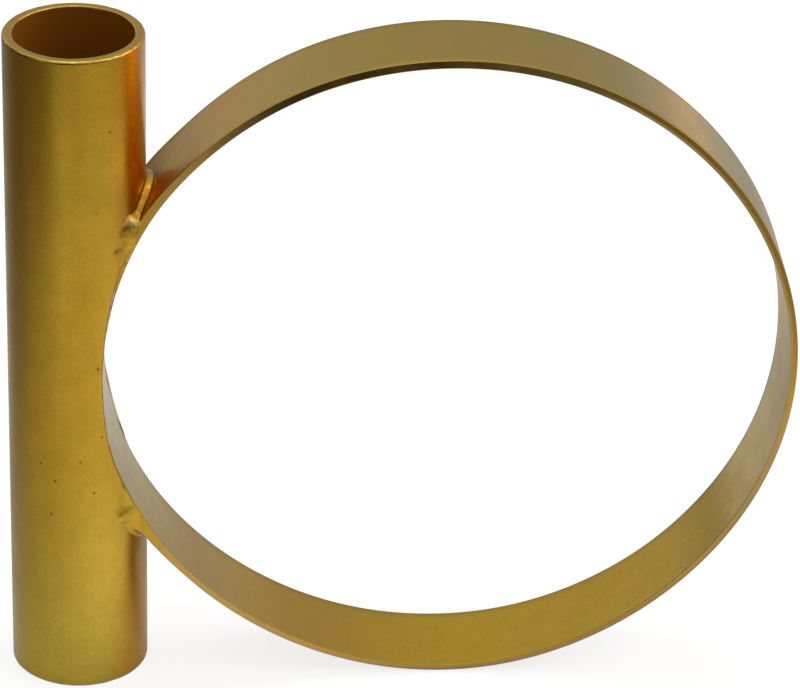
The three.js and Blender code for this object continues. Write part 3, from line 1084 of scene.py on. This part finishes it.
# What the metal sees of the table: a lit sheet of paper, falling off towards the dark side of the room at the left.
SHEET = [  # centre x, y and size in millimetres from the middle of the holder, then strength
    (-63, -110, 90, 0.38),
    (-63, -260, 90, 0.23),
    (60, -170, 100, 0.24),
    (110, -95, 50, 0.39),
    (140, -20, 35, 0.25),
    (190, -25, 40, 0.25),
    (-30, -25, 40, 0.53),
    (-150, -240, 55, 0.34),
    (-150, -20, 45, 0.09),
    (-170, -130, 60, 0.17),
    (-240, -60, 60, 0.15),
    (-120, 80, 60, 0.10),
    (-200, 210, 90, 0.16),
    (-40, 150, 60, 0.28),
    (-65, 220, 55, 0.16),
    (-20, 45, 28, -0.14),
    (20, 190, 60, 0.20),
    (60, 112, 38, -0.28),
    (170, 240, 70, -0.12),
    (260, 420, 150, -0.18),
]


def build_sheet():
    mat = bpy.data.materials.new("sheet_light")
    mat.use_nodes = True
    t = Nodes(mat.node_tree)
    out = t.add("ShaderNodeOutputMaterial")
    e = t.add("ShaderNodeEmission")
    co = t.add("ShaderNodeTexCoord").outputs["Object"]
    sep = t.add("ShaderNodeSeparateXYZ")
    t.link(co, sep.inputs[0])

    def blob(x, y, size, strength):
        d = t.add("ShaderNodeVectorMath", operation="DISTANCE")
        t.link(co, d.inputs[0])
        d.inputs[1].default_value = (x / 1000, y / 1000, 0.0)
        u = t.math("DIVIDE", d.outputs["Value"], size / 1000)
        g = t.math("EXPONENT", t.math("MULTIPLY", t.math("MULTIPLY", u, u), -0.5))
        return t.math("MULTIPLY", g, strength)

    total = t.math("ADD", t.range(sep.outputs[0], -0.12, 0.12, 0.0, 0.24), 0.12)
    behind = t.math("MULTIPLY", t.range(sep.outputs[1], 0.02, 0.16, 0.0, 0.30), t.range(sep.outputs[0], -0.20, 0.0, 0.0, 1.0))
    total = t.math("ADD", total, behind)
    for row in SHEET:
        total = t.math("ADD", total, blob(*row))
    total = t.math("MAXIMUM", total, 0.0)
    far = blob(950, 1650, 260, 0.80)  # a warm lamp's pool of light, far off behind
    tone = t.add("ShaderNodeCombineColor")
    for i, share in enumerate((1.9, 0.75, 0.40)):
        t.link(t.math("ADD", total, t.math("MULTIPLY", far, share)), tone.inputs[i])
    under = t.add("ShaderNodeAmbientOcclusion", samples=8)  # the holder's own shadow on it, warm with gold light
    under.inputs["Distance"].default_value = 0.05
    shadow = t.mix(under.outputs["AO"], (0.24, 0.11, 0.02), (1.0, 1.0, 1.0))
    t.link(t.mix(1.0, tone.outputs[0], shadow, "MULTIPLY"), e.inputs["Color"])
    t.link(e.outputs[0], out.inputs[0])
    sheet = flat_sheet("sheet", 3.0, mat)
    sheet.location.z = 0.00003
    sheet.visible_camera = False
    sheet.visible_diffuse = False
    sheet.visible_transmission = False
    sheet.visible_volume_scatter = False
    sheet.visible_shadow = False


# The room: pale all round, with soft boxes, and dark where the camera stands. Bearing, height (degrees), sharpness, strength.
ROOM = 0.41
SOFT_LIGHTS = [
    (0, 90, 6.0, 0.50),
    (322, 45, 8.0, 0.13),
    (0, 20, 6.0, 0.64),
    (100, 48, 6.0, 0.29),
    (120, 10, 25.0, 0.18),
    (262, 4, 13.0, -0.66),
    (180, 15, 8.0, -0.51),
    (90, 14, 25.0, -0.17),
    (60, 4, 160.0, 0.22),
    (96, 72, 110.0, 3.2),
    (340, 50, 70.0, 2.6),
    (315, 14, 10.0, -0.35),
    (16, 34, 70.0, 2.6),
]


def build_world():
    w = bpy.data.worlds.new("studio")
    scene.world = w
    w.use_nodes = True
    t = Nodes(w.node_tree)
    out = t.add("ShaderNodeOutputWorld")
    bg = t.add("ShaderNodeBackground")
    t.link(bg.outputs[0], out.inputs[0])
    co = t.add("ShaderNodeTexCoord").outputs["Generated"]
    total = None
    for bearing, height, sharp, strength in SOFT_LIGHTS:
        a, h = math.radians(bearing), math.radians(height)
        d = t.add("ShaderNodeVectorMath", operation="DOT_PRODUCT")
        t.link(co, d.inputs[0])
        d.inputs[1].default_value = (math.cos(h) * math.cos(a), math.cos(h) * math.sin(a), math.sin(h))
        g = t.math("EXPONENT", t.math("MULTIPLY", t.math("SUBTRACT", d.outputs["Value"], 1.0), sharp))
        g = t.math("MULTIPLY", g, strength)
        total = g if total is None else t.math("ADD", total, g)
    total = t.math("MAXIMUM", t.math("ADD", total, ROOM), 0.0)
    t.link(total, bg.inputs["Strength"])
    bg.inputs["Color"].default_value = (1, 1, 1, 1)


build_floor()
build_sheet()
build_world()

scene.cycles.max_bounces = 20
scene.cycles.glossy_bounces = 14
scene.view_settings.view_transform = "Standard"
scene.view_settings.look = "None"
scene.view_settings.exposure = 0.0
scene.view_settings.gamma = 1.0
